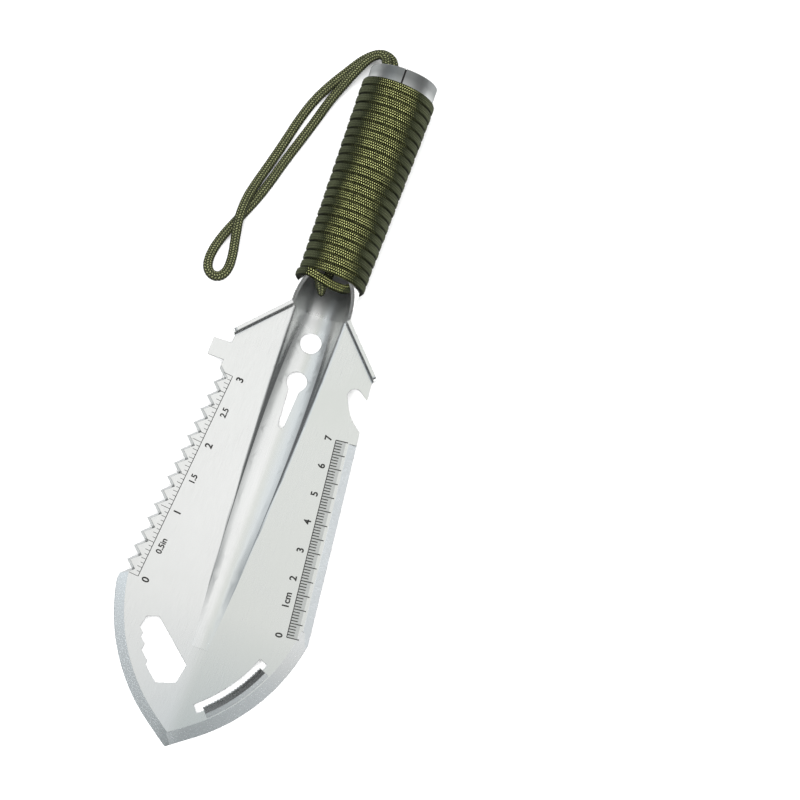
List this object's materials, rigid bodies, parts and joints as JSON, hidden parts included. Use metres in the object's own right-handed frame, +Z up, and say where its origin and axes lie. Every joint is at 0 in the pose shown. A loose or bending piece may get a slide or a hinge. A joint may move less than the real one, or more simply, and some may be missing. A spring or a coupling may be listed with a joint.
{
  "type": "hand trowel",
  "caption": "Stamped sheet-steel digging trowel with saw edge, openers and rulers, a rolled tube handle wound with cord and a lanyard loop.",
  "frame": {"origin": "on the ground under the middle of the metal tool's length and width, as it lies face up", "axes": "+Y from the blade's tip to the butt of the handle, +X to the user's right, +Z up out of the dished face"},
  "size_m": [0.0794, 0.2577, 0.0285],
  "materials": {
    "stainless_sheet": "satin cold-rolled stainless sheet, ground bevels",
    "cord": "woven nylon paracord, olive with lighter flecks"
  },
  "bodies": {
    "root": {"trowel_body": "stainless_sheet", "grip_wrap": "cord", "neck_crossing": "cord", "neck_knot": "cord", "inner_strand_lower": "cord", "inner_strand_upper": "cord", "lanyard_loop": "cord"}
  },
  "joints": []
}
